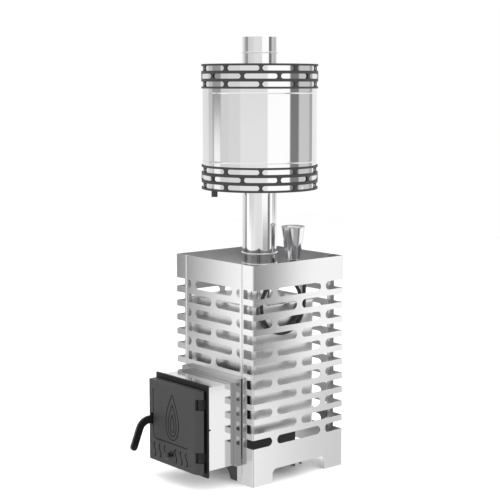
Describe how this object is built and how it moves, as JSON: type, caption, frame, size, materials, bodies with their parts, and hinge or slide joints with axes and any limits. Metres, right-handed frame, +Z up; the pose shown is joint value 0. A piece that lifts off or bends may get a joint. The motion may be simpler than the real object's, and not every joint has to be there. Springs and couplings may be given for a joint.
{
  "type": "sauna heater stove",
  "caption": "Wood-fired sauna stove: slotted square basket casing round a firebox, a fire tunnel with a cast door, and a round water tank on the flue.",
  "frame": {"origin": "on the floor under the centre of the bounding box; the flue axis stands at x = 0, y = +125.5 mm", "axes": "+Z up, -Y out of the fire door, +X to the right of someone who faces the door"},
  "size_m": [0.4, 0.651, 1.445],
  "materials": {
    "satin_sheet": "satin brushed stainless sheet",
    "polished_sheet": "polished stainless sheet",
    "dark_steel": "matt heat-proof black",
    "dark_band": "matt dark grey powder coat",
    "cast_door": "dark grey heat-proof paint on cast iron",
    "cast_frame": "near-black cast iron",
    "grate_iron": "raw cast iron",
    "handle_black": "gloss black enamel",
    "screw_steel": "zinc-plated steel",
    "rope_seal": "braided glass-fibre rope",
    "brass_nut": "machined"
  },
  "bodies": {
    "stove": {"side_panel_right": "satin_sheet", "side_panel_left": "satin_sheet", "front_grille": "satin_sheet", "rear_grille": "satin_sheet", "seam_bolts": "screw_steel", "cross_rail": "dark_steel", "stand_front": "dark_steel", "stand_rear": "dark_steel", "stand_strips": "satin_sheet", "ash_box": "dark_steel", "firebox_body": "polished_sheet", "firebox_top": "polished_sheet", "liner_left": "grate_iron", "liner_right": "grate_iron", "grate": "grate_iron", "flame_deflector": "dark_steel", "steam_box": "dark_steel", "steam_tube": "dark_steel", "fire_channel": "dark_steel", "channel_shelf": "dark_steel", "ash_pan": "screw_steel", "tunnel_jacket": "polished_sheet", "tunnel_collar": "satin_sheet", "jacket_screws": "dark_steel", "door_frame": "cast_frame", "frame_screws": "screw_steel", "door_seal": "rope_seal", "hinge_pins": "screw_steel", "latch_keeper": "screw_steel", "firebox_outlet": "polished_sheet", "flue_collar": "polished_sheet", "tank_pipe": "polished_sheet", "upper_pipe": "polished_sheet", "tank_body": "polished_sheet", "tank_bottom": "satin_sheet", "tank_top": "satin_sheet", "tank_band_bottom": "dark_band", "tank_band_top": "dark_band", "band_spacers": "screw_steel", "outlet_nipple": "screw_steel", "outlet_nut": "brass_nut", "lid_pin": "screw_steel"},
    "door": {"door": "cast_door", "inner_shield": "satin_sheet", "shield_spacers": "screw_steel", "shutter_guides": "screw_steel", "latch_pin": "screw_steel"},
    "shutter": {"air_shutter": "dark_steel", "air_knob": "handle_black"},
    "latch": {"latch_lever": "handle_black"},
    "lid": {"filler_lid": "satin_sheet"},
    "funnel": {"steam_funnel": "polished_sheet"}
  },
  "joints": [
    {"name": "door_hinge", "type": "hinge", "parent": "stove", "child": "door", "pos_m": [0.119, -0.22453, 0.19], "axis": [0, 0, 1], "range_deg": [0, 120]},
    {"name": "latch_turn", "type": "hinge", "parent": "door", "child": "latch", "pos_m": [-0.121, -0.22453, 0.192], "axis": [-1, 0, 0], "range_deg": [-8, 25]},
    {"name": "air_slide", "type": "slide", "parent": "door", "child": "shutter", "axis": [1, 0, 0], "range_m": [0, 0.012]},
    {"name": "lid_hinge", "type": "hinge", "parent": "stove", "child": "lid", "pos_m": [0, 0.05547, 1.3473], "axis": [-1, 0, 0], "range_deg": [0, 85]},
    {"name": "funnel_lift", "type": "slide", "parent": "stove", "child": "funnel", "axis": [0, 0, 1], "range_m": [0, 0.12]}
  ]
}
